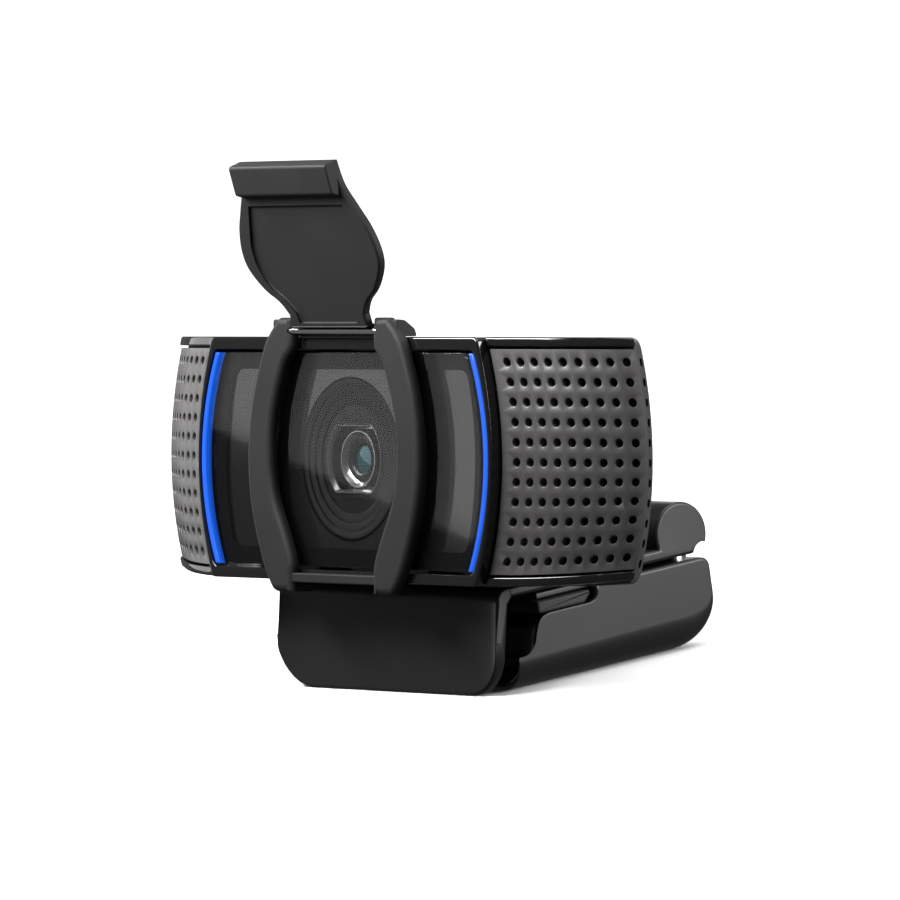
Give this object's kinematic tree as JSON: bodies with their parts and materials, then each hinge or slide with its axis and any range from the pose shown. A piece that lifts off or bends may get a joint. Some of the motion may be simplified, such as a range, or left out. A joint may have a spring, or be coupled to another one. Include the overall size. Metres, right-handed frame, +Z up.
{
  "type": "webcam",
  "caption": "Clip-on webcam head with perforated ends, blue light lines and a flip-up privacy shutter, tilting on a folding screen clip with a tripod socket.",
  "frame": {"origin": "on the ground plane, below the middle of the bounding box", "axes": "+X to the camera's left-right width, +Y towards its back, +Z up; the lens looks towards -Y"},
  "size_m": [0.0938, 0.0406, 0.0648],
  "materials": {
    "gloss_shell": "polished black rim",
    "satin_shell": "satin black moulded cover",
    "grille_shell": "satin dark grey, perforated",
    "clip_shell": "smooth satin black",
    "soft_touch": "soft-touch charcoal, fine grain",
    "smoked_window": "smoked clear panel",
    "blue_light": "glowing blue light pipe",
    "dark_plastic": "fine matt black",
    "lens_metal": "bright turned edge",
    "lens_glass": "coated lens, teal glint",
    "filter_glass": "coated filter",
    "pin_chrome": "polished pin",
    "steel_parts": "plain steel",
    "brass_insert": "threaded insert",
    "rubber_parts": "soft black rubber",
    "circuit_board": "green solder mask",
    "chip_package": "moulded chip package",
    "white_plastic": "white moulded part",
    "acoustic_cloth": "fine black mesh cloth"
  },
  "bodies": {
    "root": {"bracket": "clip_shell", "lip_pad": "rubber_parts", "pad_carrier": "dark_plastic", "plate_pad": "rubber_parts", "tilt_pin": "steel_parts", "tilt_washer_left": "steel_parts", "tilt_washer_right": "steel_parts", "foot_pin": "pin_chrome"},
    "head": {"front_bezel": "gloss_shell", "front_window": "smoked_window", "mask_plate": "dark_plastic", "lens_shroud": "dark_plastic", "lens_frame": "lens_metal", "focus_actuator": "steel_parts", "infrared_filter": "filter_glass", "image_sensor": "chip_package", "chassis": "dark_plastic", "main_board": "circuit_board", "image_processor": "chip_package", "board_connector": "white_plastic", "rear_cover": "satin_shell", "cable_gland": "rubber_parts", "tilt_lug": "steel_parts", "board_screw_1": "steel_parts", "board_screw_2": "steel_parts", "board_screw_3": "steel_parts", "board_screw_4": "steel_parts", "light_pipe_right": "blue_light", "light_pipe_left": "blue_light", "status_light_right": "white_plastic", "status_light_left": "white_plastic", "grille_right": "grille_shell", "grille_left": "grille_shell", "acoustic_mesh_right": "acoustic_cloth", "acoustic_mesh_left": "acoustic_cloth", "microphone_right": "steel_parts", "microphone_left": "steel_parts", "microphone_boot_right": "rubber_parts", "microphone_boot_left": "rubber_parts", "top_band_right": "gloss_shell", "top_band_left": "gloss_shell", "bottom_band_right": "gloss_shell", "bottom_band_left": "gloss_shell", "shutter_frame": "soft_touch", "shutter_pin": "pin_chrome"},
    "lens": {"lens_barrel": "dark_plastic", "lens_retainer": "dark_plastic", "front_lens": "lens_glass", "rear_lens": "lens_glass"},
    "shutter": {"shutter_flap": "soft_touch"},
    "foot": {"foot_shell": "clip_shell", "foot_core": "dark_plastic", "foot_pad": "rubber_parts", "tripod_nut": "brass_insert"}
  },
  "joints": [
    {"name": "head_tilt", "type": "hinge", "parent": "root", "child": "head", "pos_m": [0, -0.00273, 0.015], "axis": [1, 0, 0], "range_deg": [-25, 10]},
    {"name": "foot_fold", "type": "hinge", "parent": "root", "child": "foot", "pos_m": [0, 0.01926, 0.0109], "axis": [1, 0, 0], "range_deg": [0, 120]},
    {"name": "shutter_flip", "type": "hinge", "parent": "head", "child": "shutter", "pos_m": [0, -0.01436, 0.04376], "axis": [1, 0, 0], "range_deg": [-20, 147]},
    {"name": "lens_focus", "type": "slide", "parent": "head", "child": "lens", "axis": [0, -0.9848, 0.1736], "range_m": [-0.0002, 0.0003], "stiffness_N_per_m": 60}
  ]
}
